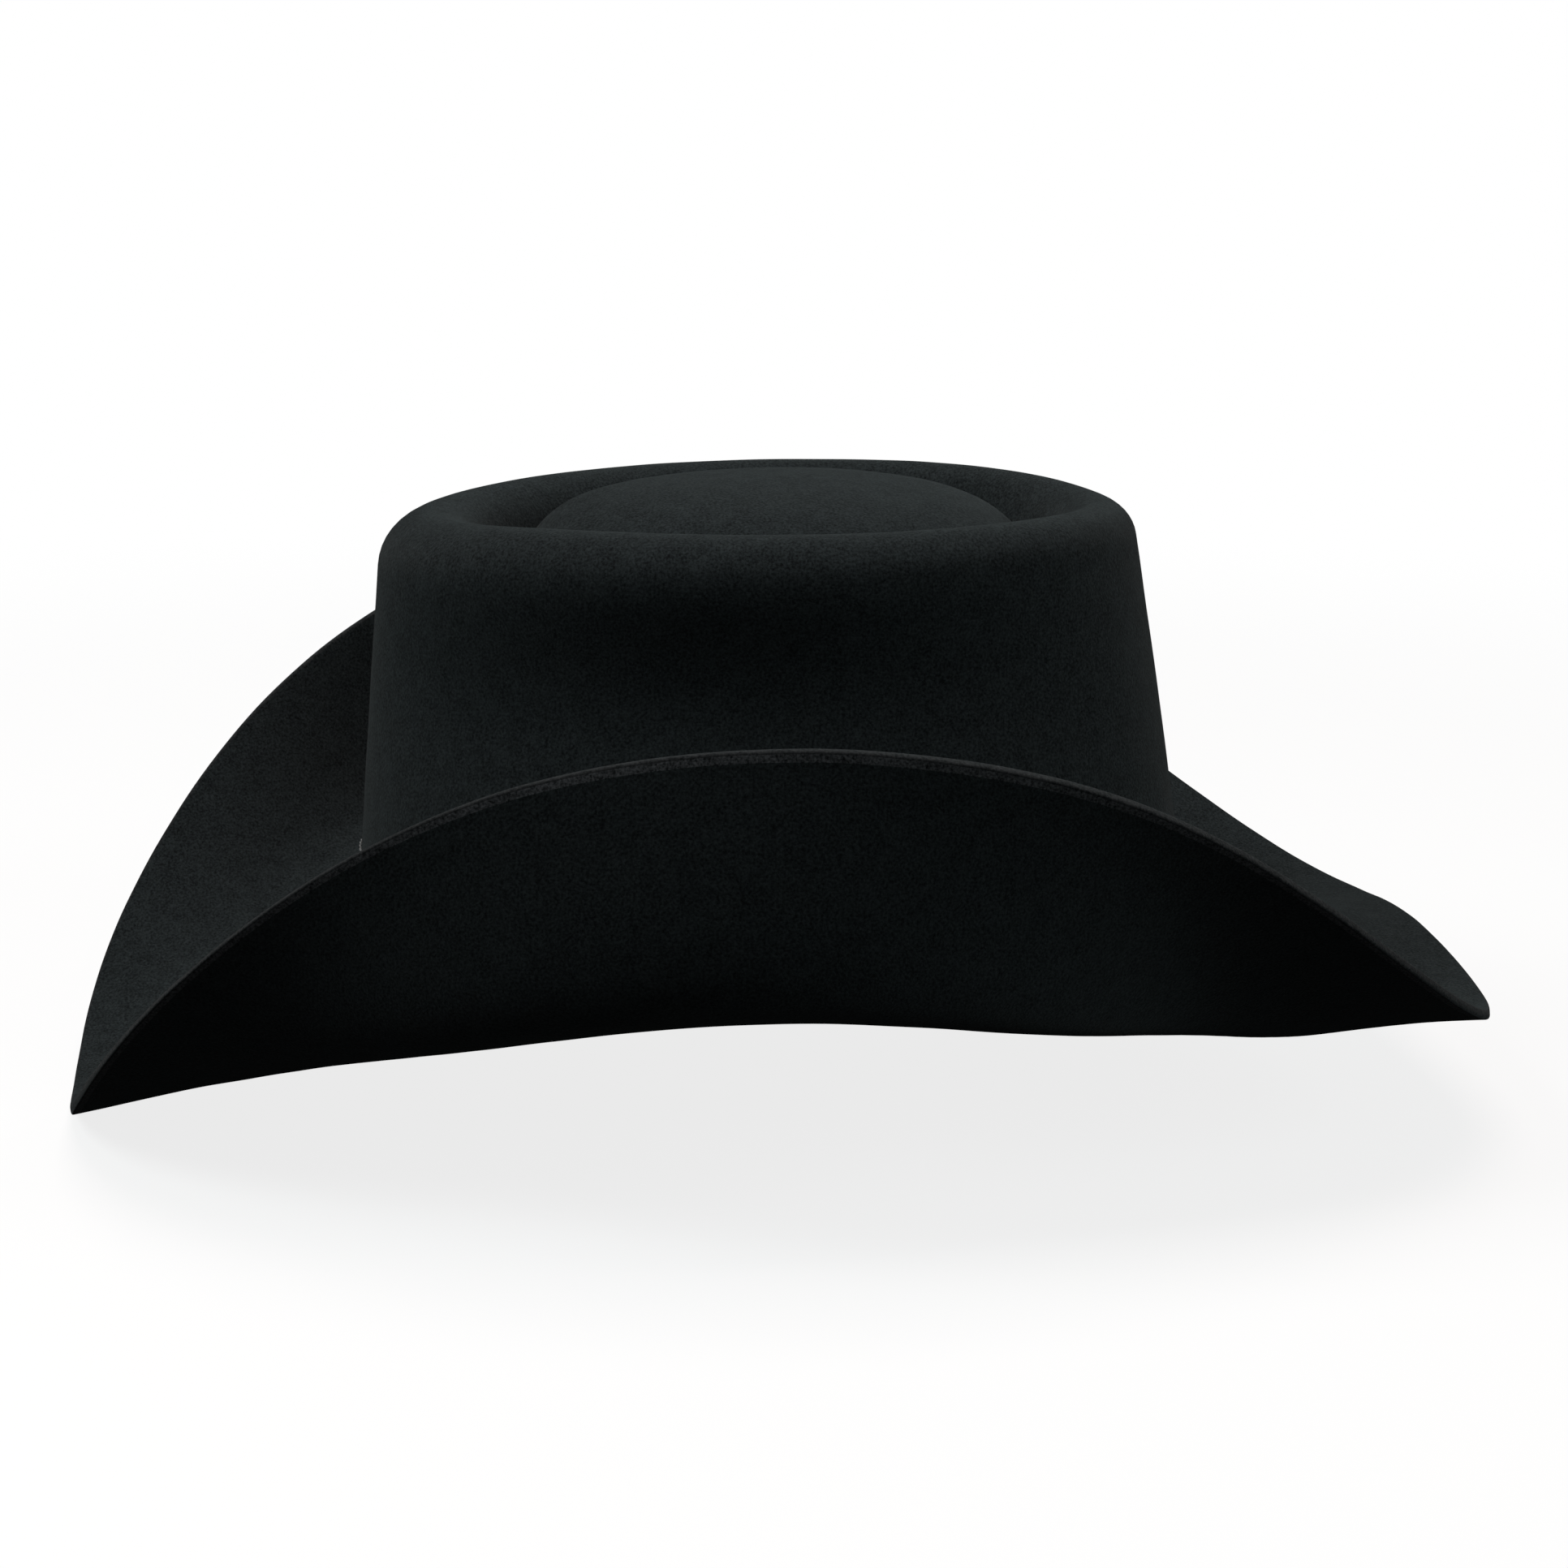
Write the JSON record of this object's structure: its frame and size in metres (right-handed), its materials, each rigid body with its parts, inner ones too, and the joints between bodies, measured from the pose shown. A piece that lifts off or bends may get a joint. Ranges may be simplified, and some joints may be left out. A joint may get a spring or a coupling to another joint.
{
  "type": "cowboy hat",
  "caption": "Western felt hat with a flat-topped telescope crown, a ridge and gutter round its top, and a wide brim curled up at the sides; leather sweatband and satin liner inside.",
  "frame": {"origin": "Middle of the head opening, level with the sides of the break, the line where the crown meets the brim.", "axes": "The front of the hat faces -Y, the wearer's left is +X and the crown rises along +Z."},
  "size_m": [0.3124, 0.3453, 0.1541],
  "materials": {
    "felt": "short brushed nap",
    "satin": "satin weave",
    "piping": "twisted cord",
    "sweat_leather": "smooth roan",
    "reed_plastic": "matte",
    "tape_cloth": "plain weave",
    "thread": "twisted thread",
    "ribbon": "satin ribbon",
    "tag_cloth": "woven label"
  },
  "bodies": {
    "root": {"felt_crown": "felt", "felt_brim": "felt", "liner_side": "satin", "liner_tip": "satin", "liner_piping": "piping", "sweatband": "sweat_leather", "sweatband_reed": "reed_plastic", "reed_tape": "tape_cloth", "seam_thread": "thread", "band_thread": "thread", "band_tab": "sweat_leather", "band_bow": "ribbon", "size_tag": "tag_cloth"}
  },
  "joints": []
}
